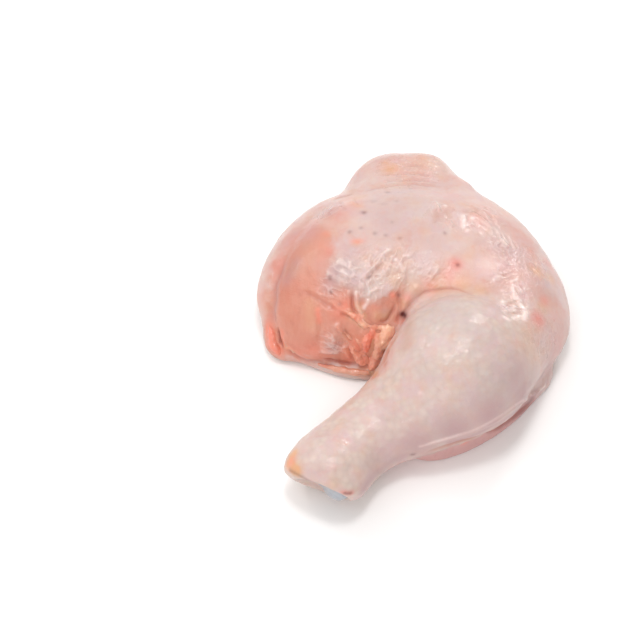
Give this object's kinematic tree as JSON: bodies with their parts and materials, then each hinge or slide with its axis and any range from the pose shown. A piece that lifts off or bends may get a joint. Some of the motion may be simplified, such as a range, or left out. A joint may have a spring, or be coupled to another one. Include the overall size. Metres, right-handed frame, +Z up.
{
  "type": "raw chicken leg quarter",
  "caption": "Raw chicken thigh and drumstick in one piece, skin on, bent at the knee, lying skin side up with the bone's cap showing in the cut hock.",
  "frame": {"origin": "middle of the leg's bounding box, on the surface that it lies on", "axes": "+Z up, +Y from the cut hock towards the back of the hip, +X from the cut side of the thigh towards the knee"},
  "size_m": [0.1332, 0.1782, 0.0503],
  "materials": {
    "skin_and_meat": "moist raw chicken skin, pale pink, over salmon pink raw meat with cream fat",
    "bone": "wet blue-white cartilage over bone"
  },
  "bodies": {
    "root": {"leg": "skin_and_meat", "shin_bone": "bone"}
  },
  "joints": []
}
